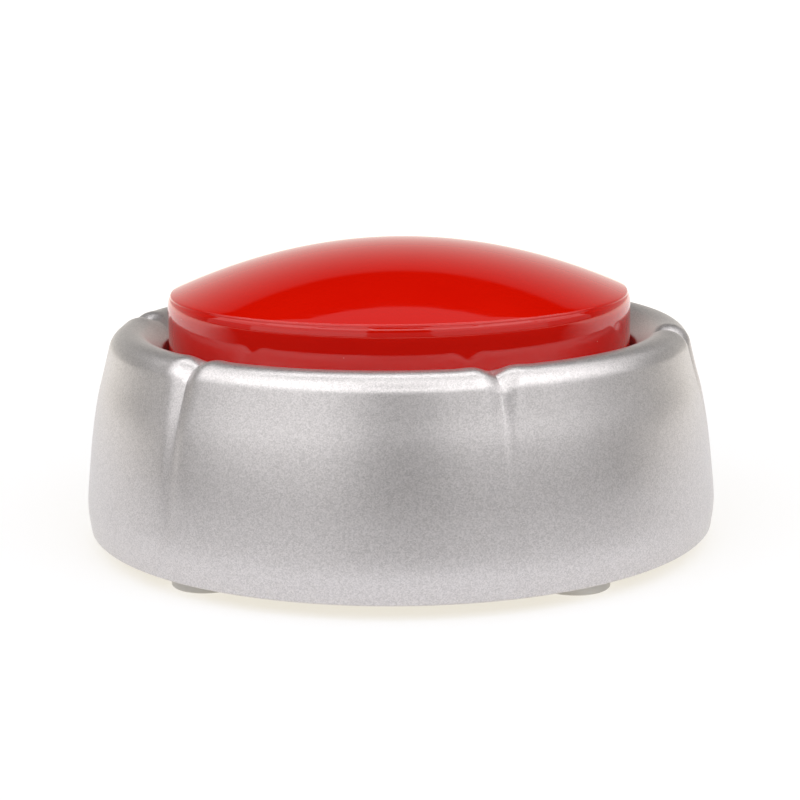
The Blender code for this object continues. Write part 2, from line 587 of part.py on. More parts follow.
def batteries(parent):
    """Two cells lying head to tail, with their contact plates and springs."""
    barrel = [(4.9, 0.0), (CELL_R, 0.35), (CELL_R, CELL_BODY - 0.35), (4.9, CELL_BODY)]
    barrel += [(CELL_NUB_R, CELL_BODY), (CELL_NUB_R, CELL_BODY + CELL_NUB)]
    far_end = CONTACT_X - GAP - CELL_NUB - CELL_BODY
    for number, (y, facing) in enumerate(zip(CELL_YS, (-1, 1)), start=1):
        start = (facing * far_end, y, CELL_Z)
        turn = (0.0, facing * 90.0, 0.0)
        place(f"battery_{number}", turned(f"battery_{number}", barrel, 24), CELL, start, parent, turn)
        length = CONTACT_X + far_end - 2 * GAP
        wire = coil(f"battery_spring_{number}", 2.6, 0.25, 0.0, length, 2.5)
        spring_at = (facing * -(CONTACT_X - GAP), y, CELL_Z)
        place(f"battery_spring_{number}", wire, NICKEL, spring_at, parent, turn)
    low_z = CELL_Z - 3.4
    high_z = CELL_Z + 3.4
    front_y, rear_y = CELL_YS
    plates = {"battery_contact_bridge": (-1, front_y - 2.4, rear_y + 2.4),
              "battery_contact_minus": (1, front_y - 3.2, front_y + 3.2),
              "battery_contact_plus": (1, rear_y - 3.2, rear_y + 3.2)}
    for name, (side, low_y, high_y) in plates.items():
        ends = sorted((side * CONTACT_X, side * (CONTACT_X + 0.4)))
        place(name, box(name, (ends[0], low_y, low_z), (ends[1], high_y, high_z)), NICKEL, parent=parent)


def smooth_route(points, pieces=4):
    """Points on one smooth curve through a wire's route."""
    ends = [points[0]] + points + [points[-1]]
    route = []
    for before, start, end, after in zip(ends, ends[1:], ends[2:], ends[3:]):
        for i in range(pieces):
            t = i / pieces
            route.append([0.5 * (2 * b + (c - a) * t + (2 * a - 5 * b + 4 * c - d) * t ** 2
                                 + (3 * b - a - 3 * c + d) * t ** 3)
                          for a, b, c, d in zip(before, start, end, after)])
    return route + [points[-1]]


def leads(parent):
    for name, points in LEAD_ROUTES.items():
        path = smooth_route(points)
        wire = bpy.data.curves.new(name, "CURVE")
        wire.dimensions = "3D"
        wire.bevel_depth = LEAD_R * MM
        wire.bevel_resolution = 2
        wire.use_fill_caps = True
        spline = wire.splines.new("POLY")
        spline.points.add(len(path) - 1)
        for point, where in zip(spline.points, path):
            point.co = (*[v * MM for v in where], 1.0)
        dark = name in ("battery_lead_minus", "speaker_lead_2")
        place(name, wire, BLACK_WIRE if dark else RED_WIRE, parent=parent)


def feet_and_case_screws(parent):
    pad = [(FOOT_R - 0.3, 0.0), (FOOT_R, 0.25), (FOOT_R, FOOT_TOP_Z - 0.1), (FOOT_R - 0.1, FOOT_TOP_Z)]
    for i, azimuth in enumerate(FOOT_AZIMUTHS):
        foot = turned(f"foot_{i + 1}", pad, 24)
        place(f"foot_{i + 1}", foot, RUBBER, polar(FOOT_RING_R, azimuth), parent)
        seat = polar(CASE_SCREW_RING_R, azimuth, HEAD_SEAT_Z - GAP)
        screw(f"case_screw_{i + 1}", seat, 2.4, 1.4, 1.1, 11.5, parent)


def build():
    clear_scene()
    housing = empty("housing_frame", (0.0, 0.0, 0.0))
    button_axis = empty("button_axis", (0.0, 0.0, 0.0))
    stem_axis = empty("stem_axis", (0.0, 0.0, 0.0))
    cone_axis = empty("cone_axis", (0.0, SPEAKER_Y, 0.0))
    door_hinge = empty("door_hinge", DOOR_HINGE)
    upper_shell(housing)
    button_cap(button_axis)
    button_carrier(button_axis)
    return_springs(housing)
    chassis(housing)
    circuit_board(housing, stem_axis)
    loudspeaker(housing, cone_axis)
    base_plate(housing)
    battery_door(door_hinge)
    batteries(housing)
    leads(housing)
    feet_and_case_screws(housing)


build()
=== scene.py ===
"""Looks of the quiz buzzer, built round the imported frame.

Lengths are in millimetres until a mesh or a placement is made, where MM turns them into metres.
Azimuths are in degrees, measured from the front (-Y) towards +X.
"""

import json
from math import atan, cos, degrees, pi, radians, sin, tan

import bmesh
import bpy
from mathutils import Matrix, Vector


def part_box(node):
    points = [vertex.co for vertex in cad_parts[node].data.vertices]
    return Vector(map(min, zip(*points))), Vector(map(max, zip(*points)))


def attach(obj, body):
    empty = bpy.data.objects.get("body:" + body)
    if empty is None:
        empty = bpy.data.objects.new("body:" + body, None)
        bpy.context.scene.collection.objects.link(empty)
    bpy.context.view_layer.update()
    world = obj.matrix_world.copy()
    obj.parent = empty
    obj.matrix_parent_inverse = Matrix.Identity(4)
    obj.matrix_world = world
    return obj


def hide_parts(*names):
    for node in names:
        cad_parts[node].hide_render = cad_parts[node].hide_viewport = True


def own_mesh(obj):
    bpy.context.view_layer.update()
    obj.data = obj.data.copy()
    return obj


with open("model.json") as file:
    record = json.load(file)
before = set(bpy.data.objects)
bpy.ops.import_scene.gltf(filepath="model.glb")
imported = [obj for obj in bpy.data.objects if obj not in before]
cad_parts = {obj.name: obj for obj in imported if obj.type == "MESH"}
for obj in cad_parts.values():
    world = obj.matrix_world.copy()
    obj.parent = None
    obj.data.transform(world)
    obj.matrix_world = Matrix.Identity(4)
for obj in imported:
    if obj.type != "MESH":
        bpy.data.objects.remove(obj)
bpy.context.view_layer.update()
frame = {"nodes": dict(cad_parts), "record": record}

MM = 0.001

# Camera, matched to the object's outline
CAMERA_AT = (0.0, -277.2, 77.0)
CAMERA_PITCH = 11.684
CAMERA_ROLL = -0.61
CAMERA_LENS = 83.43

# Housing ring, as in the CAD
RIM_R = 40.29
RIM_CENTRE_Z = 28.51
RIM_ROUND = 3.35
WALL = 1.9
RIM_START = 16.0                # angle on the rim's round where the outer wall meets it
RIM_END = 128.0                 # and where the slope down to the button begins
LIP_R = 35.55
LIP_TOP_Z = 29.0
LIP_UNDER_Z = 24.5
LIP_ROUND = 0.3                 # how far the slope ends from the lip, where the lip's edge is rounded off
THROAT_R = 36.3
THROAT_OUTER_R = 37.5
THROAT_FOOT_Z = 20.7
CREASE_COUNT = 6
CREASE_SPACING = 360.0 / CREASE_COUNT
CREASE_AZIMUTH = 17.9
CREASE_DEPTH = 1.0
CREASE_END_Z = 6.5
CREASE_FULL_Z = 30.5
CREASE_HALF_WALL = 2.0
CREASE_HALF_RIM = 2.7
BOSS_TOP_Z = 27.0

# Button, as in the CAD
BUTTON_R = 34.3
BUTTON_EDGE_Z = 36.86
DOME_HEIGHT = 7.5
BUTTON_EDGE_ROUND = 0.4
SKIRT_R = 34.7
SKIRT_TOP_Z = 35.3
SKIRT_INNER_R = 32.45
FLANGE_R = 36.0
FLANGE_THICK = 1.0
CAP_INNER_R = 31.2
CAP_WALL = 2.0


# ---------------------------------------------------------------- mesh tools

def polar(radius, azimuth, z=0.0):
    turn = radians(azimuth)
    return (radius * sin(turn), -radius * cos(turn), z)


def smooth_step(value):
    value = min(1.0, max(0.0, value))
    return value * value * (3.0 - 2.0 * value)


def finished(bm, name, sharp=32.0):
    bmesh.ops.recalc_face_normals(bm, faces=bm.faces)
    mesh = bpy.data.meshes.new(name)
    bm.to_mesh(mesh)
    bm.free()
    mesh.shade_smooth()
    mesh.set_sharp_from_angle(angle=radians(sharp))
    return mesh


def skin(bm, rings, closed):
    """Faces over rings of points in mm: a loop of rings, or a row with a flat cap or a tip at each end."""
    loops = [[bm.verts.new([v * MM for v in point]) for point in ring] for ring in rings]
    follow = loops[1:] + loops[:1] if closed else loops[1:]
    for near, far in zip(loops, follow):
        steps = max(len(near), len(far))
        for i in range(steps):
            j = (i + 1) % steps
            corners = [near[i % len(near)], near[j % len(near)], far[j % len(far)], far[i % len(far)]]
            bm.faces.new(list(dict.fromkeys(corners)))
    if not closed:
        for cap in (loops[0], loops[-1]):
            if len(cap) > 1:
                bm.faces.new(cap)


def turned(name, profile, steps, sharp=32.0):
    """Mesh turned about Z from (radius, z) points in mm."""
    rings = []
    for radius, z in profile:
        if radius == 0.0:
            rings.append([(0.0, 0.0, z)])
        else:
            rings.append([polar(radius, 360.0 * i / steps, z) for i in range(steps)])
    bm = bmesh.new()
    skin(bm, rings, closed=False)
    return finished(bm, name, sharp)


def arc_point(centre_r, centre_z, radius, degree):
    angle = radians(degree)
    return (centre_r + radius * cos(angle), centre_z + radius * sin(angle))


def arc(centre_r, centre_z, radius, start, end, count):
    step = (end - start) / (count - 1)
    return [arc_point(centre_r, centre_z, radius, start + step * i) for i in range(count)]


def curve_through(points, pieces):
    """Smooth curve through points, the end points kept."""
    ends = [points[0]] + points + [points[-1]]
    path = []
    for before, start, end, after in zip(ends, ends[1:], ends[2:], ends[3:]):
        for i in range(pieces):
            t = i / pieces
            point = []
            for a, b, c, d in zip(before, start, end, after):
                bend = (2 * a - 5 * b + 4 * c - d) * t ** 2 + (3 * b - a - 3 * c + d) * t ** 3
                point.append(0.5 * (2 * b + (c - a) * t + bend))
            path.append(tuple(point))
    return path + [points[-1]]


def piece(name, mesh, body, slot, node):
    """Visible piece that stands for one CAD node."""
    made = bpy.data.objects.new(name, mesh)
    bpy.context.scene.collection.objects.link(made)
    mesh.materials.append(LOOKS[slot])
    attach(made, body)
    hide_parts(node)
    return made


# ---------------------------------------------------------------- materials

def map_range(tree, value, low, high, out_low, out_high):
    """Socket that runs from out_low to out_high as value runs from low to high."""
    made = tree.nodes.new("ShaderNodeMapRange")
    sockets = ("From Min", "From Max", "To Min", "To Max")
    for socket, number in zip(sockets, (low, high, out_low, out_high)):
        made.inputs[socket].default_value = number
    tree.links.new(value, made.inputs["Value"])
    return made.outputs["Result"]


class Look:
    """A node material under construction."""

    def __init__(self, name, colour, roughness, metallic=0.0, **sockets):
        self.material = bpy.data.materials.new(name)
        self.material.use_nodes = True
        self.tree = self.material.node_tree
        self.shader = self.tree.nodes["Principled BSDF"]
        self.shader.inputs["Base Color"].default_value = (*colour, 1.0)
        self.shader.inputs["Roughness"].default_value = roughness
        self.shader.inputs["Metallic"].default_value = metallic
        for socket, value in sockets.items():
            self.shader.inputs[socket.replace("_", " ")].default_value = value
        self.place = self.node("ShaderNodeTexCoord").outputs["Object"]
        self.roughness = roughness

    def node(self, kind, **settings):
        made = self.tree.nodes.new(kind)
        for key, value in settings.items():
            setattr(made, key, value)
        return made

    def link(self, out, into):
        self.tree.links.new(out, into)

    def noise(self, size, detail=2.0, stretch=None):
        """Noise whose grains measure about size mm."""
        made = self.node("ShaderNodeTexNoise")
        made.inputs["Scale"].default_value = 1.0 / (size * MM)
        made.inputs["Detail"].default_value = detail
        if stretch:
            mapping = self.node("ShaderNodeMapping")
            mapping.inputs["Scale"].default_value = stretch
            self.link(self.place, mapping.inputs["Vector"])
            self.link(mapping.outputs["Vector"], made.inputs["Vector"])
        else:
            self.link(self.place, made.inputs["Vector"])
        return made.outputs["Fac"]

    def flakes(self, size):
        """Cells of about size mm, each with its own random value."""
        made = self.node("ShaderNodeTexVoronoi")
        made.inputs["Scale"].default_value = 1.0 / (size * MM)
        self.link(self.place, made.inputs["Vector"])
        return made

    def ramp(self, value, low, high, out_low, out_high):
        return map_range(self.tree, value, low, high, out_low, out_high)

    def tint(self, value, low, high):
        """Base colour from low, a colour or another tint, to the colour high as value goes from 0 to 1."""
        mix = self.node("ShaderNodeMix", data_type="RGBA")
        colour_a, colour_b = [s for s in mix.inputs if s.type == "RGBA"]
        self.link(value, mix.inputs["Factor"])
        colour_b.default_value = (*high, 1.0)
        if isinstance(low, tuple):
            colour_a.default_value = (*low, 1.0)
        else:
            self.link(low, colour_a)
        out = [s for s in mix.outputs if s.type == "RGBA"][0]
        self.link(out, self.shader.inputs["Base Color"])
        return out

    def vary_roughness(self, value, spread):
        self.link(self.ramp(value, 0.3, 0.7, self.roughness - spread, self.roughness + spread),
                  self.shader.inputs["Roughness"])

    def bump(self, value, depth, strength=1.0, below=None):
        """Relief of depth mm from a value that runs from 0 to 1."""
        made = self.node("ShaderNodeBump")
        made.inputs["Distance"].default_value = depth * MM
        made.inputs["Strength"].default_value = strength
        self.link(value, made.inputs["Height"])
        if below:
            self.link(below, made.inputs["Normal"])
        self.link(made.outputs["Normal"], self.shader.inputs["Normal"])
        return made.outputs["Normal"]


def scaled(colour, factor):
    return tuple(min(1.0, v * factor) for v in colour)


def silver_paint():
    """Metallic paint: fine flakes that catch the light one by one, over a slight orange peel."""
    colour = (0.617, 0.59, 0.59)
    look = Look("silver_paint", colour, 0.36, 0.92)
    flakes = look.flakes(0.15)
    value = look.node("ShaderNodeSeparateColor")
    look.link(flakes.outputs["Color"], value.inputs["Color"])
    glint = look.ramp(value.outputs["Red"], 0.0, 1.0, 0.0, 1.0)
    base = look.tint(glint, scaled(colour, 0.82), scaled(colour, 1.15))
    cloud = look.noise(0.35, 3.0)
    look.tint(look.ramp(cloud, 0.35, 0.75, 0.0, 0.25), base, scaled(colour, 1.15))
    peel = look.bump(look.noise(0.55, 2.0), 0.004)
    look.bump(value.outputs["Green"], 0.006, 0.5, peel)
    look.vary_roughness(cloud, 0.03)
    return look.material


def red_gloss():
    """Glossy red plastic with faint rubbing marks and a few specks of dust."""
    look = Look("red_gloss", (0.545, 0.0045, 0.0006), 0.05, IOR=1.49)
    dust = look.flakes(2.6)
    near = look.ramp(dust.outputs["Distance"], 0.02, 0.035, 1.0, 0.0)
    cloud = look.noise(3.0, 3.0)
    sparse = look.ramp(cloud, 0.52, 0.6, 0.0, 1.0)
    both = look.node("ShaderNodeMath", operation="MULTIPLY")
    look.link(near, both.inputs[0])
    look.link(sparse, both.inputs[1])
    shade = look.ramp(look.noise(14.0, 2.0), 0.3, 0.7, 0.0, 1.0)
    base = look.tint(shade, (0.535, 0.004, 0.0005), (0.555, 0.005, 0.0007))
    look.tint(look.ramp(both.outputs["Value"], 0.0, 1.0, 0.0, 0.5), base, (0.8, 0.5, 0.45))
    scratches = look.noise(1.2, 4.0, stretch=(0.15, 0.15, 3.0))
    look.vary_roughness(scratches, 0.025)
    look.bump(look.noise(9.0, 1.0), 0.004)
    return look.material


def moulded(name, colour, roughness, grain=0.35, depth=0.02):
    """Plastic, rubber or another dull material with a fine grain."""
    look = Look(name, colour, roughness)
    cloud = look.noise(6.0, 4.0)
    look.tint(look.ramp(cloud, 0.3, 0.7, 0.0, 1.0), scaled(colour, 0.85), scaled(colour, 1.15))
    look.vary_roughness(cloud, 0.05)
    look.bump(look.noise(grain, 4.0), depth)
    return look.material


def metal(name, colour, roughness):
    """Plated steel, slightly uneven."""
    look = Look(name, colour, roughness, 1.0)
    cloud = look.noise(1.5, 5.0)
    look.tint(look.ramp(cloud, 0.3, 0.7, 0.0, 1.0), scaled(colour, 0.82), scaled(colour, 1.08))
    look.vary_roughness(cloud, 0.08)
    look.bump(look.noise(0.3, 3.0), 0.004)
    return look.material


def board_look():
    """Green solder resist with copper tracks showing faintly through it."""
    look = Look("circuit_board", (0.02, 0.16, 0.06), 0.35)
    tracks = look.node("ShaderNodeTexWave", wave_profile="TRI", bands_direction="DIAGONAL")
    tracks.inputs["Scale"].default_value = 180.0
    tracks.inputs["Distortion"].default_value = 1.5
    look.link(look.place, tracks.inputs["Vector"])
    lines = look.ramp(tracks.outputs["Fac"], 0.55, 0.6, 0.0, 1.0)
    look.tint(lines, (0.012, 0.12, 0.045), (0.03, 0.24, 0.09))
    look.bump(lines, 0.02)
    look.vary_roughness(look.noise(2.0), 0.05)
    return look.material


def cell_look():
    """Battery sleeve: a dark blue film, faintly mottled."""
    look = Look("battery_sleeve", (0.03, 0.05, 0.10), 0.28, 0.3)
    grain = look.noise(4.0, 3.0)
    look.tint(look.ramp(grain, 0.3, 0.7, 0.0, 1.0), (0.025, 0.045, 0.09), (0.04, 0.065, 0.13))
    look.vary_roughness(grain, 0.05)
    look.bump(look.noise(0.8), 0.004)
    return look.material


LOOKS = {
    "silver_paint": silver_paint(),
    "red_gloss": red_gloss(),
    "charcoal_plastic": moulded("charcoal_plastic", (0.045, 0.045, 0.05), 0.5),
    "natural_plastic": moulded("natural_plastic", (0.62, 0.61, 0.57), 0.42, 0.8, 0.006),
    "grey_rubber": moulded("grey_rubber", (0.55, 0.53, 0.50), 0.5, 0.25, 0.012),
    "zinc_steel": metal("zinc_steel", (0.62, 0.62, 0.60), 0.3),
    "nickel": metal("nickel", (0.70, 0.67, 0.60), 0.22),
    "board_green": board_look(),
    "black_epoxy": moulded("black_epoxy", (0.02, 0.02, 0.022), 0.4, 0.2, 0.01),
    "cell_sleeve": cell_look(),
    "red_wire": moulded("red_wire", (0.5, 0.02, 0.015), 0.38, 0.6, 0.005),
    "black_wire": moulded("black_wire", (0.02, 0.02, 0.02), 0.38, 0.6, 0.005),
    "ferrite": moulded("ferrite", (0.07, 0.07, 0.08), 0.5, 0.4, 0.02),
    "cone_paper": moulded("cone_paper", (0.025, 0.025, 0.025), 0.85, 0.5, 0.04),
}


# ---------------------------------------------------------------- housing ring

def outer_wall():
    """Profile of the wall's outside, from its lower edge to the rim, as (radius, z)."""
    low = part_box("upper_shell")[0].z / MM
    foot = [(46.75, low), (47.02, low + 0.06), (47.2, low + 0.25)]
    wall = [(47.24, low + 0.5), (47.57, 6.15), (47.08, 11.4), (46.43, 16.7), (45.49, 21.9), (44.35, 26.2)]
    rim = arc_point(RIM_R, RIM_CENTRE_Z, RIM_ROUND, RIM_START)
    return foot + curve_through(wall + [rim], 7)[:-1]


def crease_sink(side, z, angle):
    """Depth in mm of the crease at a distance in mm from its middle line.

    It is a shallow valley low on the wall, and deepens into a V with raised lips over the rim. The angle is
    the point's place on the rim's round, and fades the crease out on the slope down to the button.
    """
    reach = min(1.0, max(0.0, (z - CREASE_END_Z) / (CREASE_FULL_Z - CREASE_END_Z)))
    depth = CREASE_DEPTH * (0.36 * reach + 0.64 * reach ** 6)
    inside = 1.0 - smooth_step((angle - 95.0) / 45.0)
    u = abs(side) / (CREASE_HALF_WALL + (CREASE_HALF_RIM - CREASE_HALF_WALL) * reach ** 3)
    valley = 0.5 + 0.5 * cos(pi * min(1.0, u))
    fold = (1.0 - u) ** 2 * (1.0 + 0.6 * u) if u < 1.0 else 0.0
    lip = -0.12 * max(0.0, 1.0 - abs(u - 1.25) / 0.6) * reach ** 4
    return depth * inside * (valley + (fold - valley) * reach ** 3 + lip)


def crease_steps():
    """Azimuths of one sector, measured from its crease and close together there."""
    near = [0.0, 0.12, 0.3, 0.55, 0.85, 1.2, 1.6, 2.05, 2.55, 3.1, 3.7, 4.4, 5.2]
    rest = CREASE_SPACING / 2.0 - near[-1]
    half = near + [near[-1] + rest * i / 11 for i in range(1, 12)]
    return [-step for step in half[-2:0:-1]] + half


def housing_ring():
    outside = [(r, z, 0.0) for r, z in outer_wall()]
    steps = 30
    for i in range(steps + 1):
        angle = RIM_START + (RIM_END - RIM_START) * i / steps
        outside.append((*arc_point(RIM_R, RIM_CENTRE_Z, RIM_ROUND, angle), angle))
    start_r, start_z = outside[-1][:2]
    fall_r = LIP_R + LIP_ROUND - start_r
    fall_z = LIP_TOP_Z + 0.14 - start_z
    for i in range(1, 9):
        share = i / 8
        outside.append((start_r + fall_r * share, start_z + fall_z * share, RIM_END + 12.0 * share))
    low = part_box("upper_shell")[0].z / MM
    well = [(LIP_R + 0.16, LIP_TOP_Z), (LIP_R + 0.05, LIP_TOP_Z - 0.15), (LIP_R, LIP_TOP_Z - 0.35)]
    well += [(LIP_R, LIP_UNDER_Z), (THROAT_R, LIP_UNDER_Z), (THROAT_R, THROAT_FOOT_Z)]
    well += [(THROAT_OUTER_R, THROAT_FOOT_Z), (THROAT_OUTER_R, 26.0)]
    well += arc(RIM_R, RIM_CENTRE_Z, RIM_ROUND - WALL, 180.0, RIM_START, 12)
    well += curve_through([(43.55, 21.9), (44.5, 16.7), (45.15, 11.4), (45.3, 6.0)], 3) + [(45.3, low)]
    rings = []
    offsets = crease_steps()
    for r, z, angle in outside + [(r, z, 181.0) for r, z in well]:
        leaning = radians(min(angle, RIM_END))
        ring = []
        for k in range(CREASE_COUNT):
            for step in offsets:
                azimuth = CREASE_AZIMUTH + CREASE_SPACING * k + step
                sink = crease_sink(radians(step) * r, z, angle)
                ring.append(polar(r - sink * cos(leaning), azimuth, z - sink * sin(leaning)))
        rings.append(ring)
    bm = bmesh.new()
    skin(bm, rings, closed=True)
    for radius, bore, foot, at in boss_places():
        add_ring(bm, [(radius, foot), (radius, BOSS_TOP_Z), (bore, BOSS_TOP_Z), (bore, foot)], at)
    shell = finished(bm, "housing_ring", 30.0)
    piece("housing_ring", shell, "housing", "silver_paint", "upper_shell")


def boss_places():
    """Outer and bore radius, foot and middle of each boss: over the case screws and the chassis's ears."""
    places = [(2.6, 1.4, 7.1, middle(f"case_screw_{i + 1}")) for i in range(4)]
    places += [(2.8, 1.2, THROAT_FOOT_Z, middle(f"chassis_screw_{i + 1}")) for i in range(3)]
    return places


def add_ring(bm, profile, centre, steps=32):
    """Closed ring about a vertical line through the centre."""
    rings = []
    for radius, z in profile:
        rings.append([(centre.x / MM + radius * cos(2 * pi * i / steps),
                       centre.y / MM + radius * sin(2 * pi * i / steps), z) for i in range(steps)])
    skin(bm, rings, closed=True)


def middle(node):
    low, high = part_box(node)
    return (low + high) / 2


# ---------------------------------------------------------------- button

def dome_z(radius):
    return BUTTON_EDGE_Z + DOME_HEIGHT * (1.0 - (radius / BUTTON_R) ** 2)


def button():
    edge_slope = degrees(atan(2.0 * DOME_HEIGHT / BUTTON_R))
    edge_r = BUTTON_R - BUTTON_EDGE_ROUND
    dome_end = edge_r + BUTTON_EDGE_ROUND * cos(radians(90.0 - edge_slope))
    edge_z = dome_z(dome_end) - BUTTON_EDGE_ROUND * sin(radians(90.0 - edge_slope))
    outside = [(dome_end * i / 40, dome_z(dome_end * i / 40)) for i in range(40)]
    outside += arc(edge_r, edge_z, BUTTON_EDGE_ROUND, 90.0 - edge_slope, 0.0, 8)
    flange_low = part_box("button_cap")[0].z / MM
    flange_high = flange_low + FLANGE_THICK
    flare = [(BUTTON_R, edge_z), (BUTTON_R + 0.22, edge_z - 0.45), (SKIRT_R - 0.03, SKIRT_TOP_Z)]
    flare_end = SKIRT_TOP_Z - 1.2
    wall = curve_through(flare + [(SKIRT_R, flare_end)], 4)[1:]
    wall += [(SKIRT_R, flange_high + (flare_end - flange_high) * (1 - i / 6)) for i in range(1, 7)]
    flange = [(FLANGE_R, flange_high), (FLANGE_R, flange_low), (SKIRT_INNER_R, flange_low)]
    inside = [(SKIRT_INNER_R, 33.8), (CAP_INNER_R, 35.2)]
    for i in range(1, 17):
        radius = CAP_INNER_R * (1 - i / 16)
        inside.append((radius, dome_z(radius) - CAP_WALL))
    cap = turned("button_dome", outside + wall + flange + inside, 256)
    piece("button_dome", cap, "button", "red_gloss", "button_cap")


# ---------------------------------------------------------------- feet, screws, springs

def feet():
    for i in range(4):
        node = f"foot_{i + 1}"
        low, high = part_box(node)
        radius = (high.x - low.x) / 2 / MM
        top = high.z / MM
        profile = [(radius - 0.5, 0.0)] + arc(radius - 0.25, 0.25, 0.25, -90.0, 0.0, 6)
        profile += [(radius, top - 0.3)] + arc(radius - 0.15, top - 0.15, 0.15, 0.0, 90.0, 4)
        mesh = turned(f"rubber_{node}", profile, 64, 50.0)
        mesh.transform(Matrix.Translation((middle(node).x, middle(node).y, 0.0)))
        piece(f"rubber_{node}", mesh, "housing", "grey_rubber", node)


# Head height and shank radius of each kind of screw, as in the CAD
SCREW_SIZES = {"case": (1.4, 1.1), "chassis": (1.4, 0.9), "carrier": (1.4, 0.8), "board": (1.3, 0.8),
               "battery": (0.6, 0.9)}
THREAD_PITCH = 0.7
THREAD_ROOT = 0.78              # share of the shank's radius

SPRING_R = 4.6
SPRING_WIRE_R = 0.3
SPRING_TURNS = 3.5


def screws():
    """Pan-head screws pointing up, with a cross recess in the head and a threaded shank."""
    for body, nodes in frame["record"]["behaviour"]["bodies"].items():
        for node in nodes:
            if "_screw" in node:
                mesh = screw_mesh(node, *SCREW_SIZES[node.split("_")[0]])
                piece(f"fine_{node}", mesh, body, "zinc_steel", node)


def screw_mesh(node, head, shank):
    low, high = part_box(node)
    base, tip = low.z / MM, high.z / MM
    head_r = (high.x - low.x) / 2 / MM
    root = THREAD_ROOT * shank
    edge = min(0.5, 0.6 * head)
    profile = arc(head_r - edge, base + edge, edge, -90.0, 0.0, 6)
    profile += [(head_r, base + head), (shank, base + head)]
    for k in range(int((tip - base - head - 1.2) / THREAD_PITCH)):
        z = base + head + 0.3 + THREAD_PITCH * k
        profile += [(root, z), (shank, z + THREAD_PITCH * 0.4), (root, z + THREAD_PITCH * 0.8)]
    profile += [(root, tip - 0.8), (shank * 0.5, tip - 0.3), (0.0, tip)]
    at = Matrix.Translation((middle(node).x, middle(node).y, 0.0))
    blank = turned(f"blank_{node}", profile, 32, 28.0)
    blank.transform(at)
    cutter = cross_cutter(0.12 * head_r, 0.52 * head_r, base - 0.1, base + 0.6 * head)
    cutter.transform(at)
    return cut(f"fine_{node}", blank, cutter)


def cross_cutter(half_width, reach, low, high):
    """Cross-shaped prism that narrows upwards."""
    w, r = half_width, reach
    outline = [(w, -r), (w, -w), (r, -w), (r, w), (w, w), (w, r)]
    outline += [(-x, -y) for x, y in outline]
    rings = [[(x * scale, y * scale, z) for x, y in outline] for scale, z in ((1.0, low), (0.7, high))]
    bm = bmesh.new()
    skin(bm, rings, closed=False)
    return finished(bm, "cross_cutter")


def cut(name, mesh, cutter):
    """The mesh with the cutter's shape taken out of it."""
    blank, tool = (bpy.data.objects.new(part.name, part) for part in (mesh, cutter))
    for item in (blank, tool):
        bpy.context.scene.collection.objects.link(item)
    change = blank.modifiers.new("cut", "BOOLEAN")
    change.operation = "DIFFERENCE"
    change.object = tool
    made = bpy.data.meshes.new_from_object(blank.evaluated_get(bpy.context.evaluated_depsgraph_get()))
    made.name = name
    for item in (blank, tool):
        bpy.data.objects.remove(item, do_unlink=True)
    return made


def coil_mesh(name, radius, wire_r, low, high, turns, steps=40, sides=12):
    """Round-wire spring about Z, open-ended."""
    count = int(turns * steps)
    rings = []
    for i in range(count + 1):
        share = i / count
        angle = 2 * pi * turns * share
        z = low + wire_r + (high - low - 2 * wire_r) * share
        ring = []
        for k in range(sides):
            side = 2 * pi * k / sides
            reach = radius + wire_r * cos(side)
            ring.append((reach * cos(angle), reach * sin(angle), z + wire_r * sin(side)))
        rings.append(ring)
    bm = bmesh.new()
    skin(bm, rings, closed=False)
    return finished(bm, name)


def springs():
    for i in range(3):
        node = f"return_spring_{i + 1}"
        low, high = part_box(node)
        centre = middle(node)
        mesh = coil_mesh(f"fine_{node}", SPRING_R, SPRING_WIRE_R, low.z / MM, high.z / MM, SPRING_TURNS)
        mesh.transform(Matrix.Translation((centre.x, centre.y, 0.0)))
        spring = piece(f"fine_{node}", mesh, "housing", "zinc_steel", node)
        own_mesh(spring)


# ---------------------------------------------------------------- room

# Arcs of softbox panels round the object: name, elevation, azimuths and radiance
SOFTBOX_ARCS = (
    ("high", 38.0, (-60.0, -30.0, 0.0, 30.0, 60.0), 2.5),
    ("high_side", 38.0, (-90.0, 90.0), 1.8),
    ("high_rear", 38.0, (-120.0, 120.0), 0.7),
    ("low_left", 24.0, (-60.0, -30.0), 1.0),
    ("low_right", 24.0, (30.0, 60.0), 1.1),
    ("low_side", 24.0, (-90.0, 90.0), 1.2),
    ("bottom_left", 10.0, (-60.0, -30.0), 1.2),
    ("bottom_right", 10.0, (30.0, 60.0), 0.8),
    ("bottom_front", 10.0, (0.0,), 0.3),
    ("bottom_side", 10.0, (-90.0, 90.0), 0.4),
    ("top_front", 52.0, (-60.0, -30.0, 30.0, 60.0), 1.2),
    ("top_side", 52.0, (-120.0, -90.0, 90.0, 120.0), 1.6),
)
SOFTBOX_DISTANCE = 1.2
PANEL_WIDE = 30.0               # degrees, as the object sees a panel
PANEL_HIGH = 14.0
PANEL_AIM = (0.0, 0.0, 0.02)    # the point that the panels face, in metres

# Softboxes overhead: name, nearest and farthest edge, half width in metres, radiance
OVERHEAD_HEIGHT = 0.62
OVERHEADS = (
    ("overhead_front", -0.40, 0.0, 0.45, 1.5),
    ("overhead_middle", 0.0, 0.13, 0.40, 0.25),
    ("overhead_rear", 0.13, 0.28, 0.30, 3.4),
    ("overhead_far", 0.28, 0.45, 0.40, 0.3),
)

FLOOR_GLOW = 0.80
FLOOR_GLOW_FAR = 1.35
FLOOR_GLOW_RISE = (0.1, 0.5)    # distances in metres between which the one runs to the other

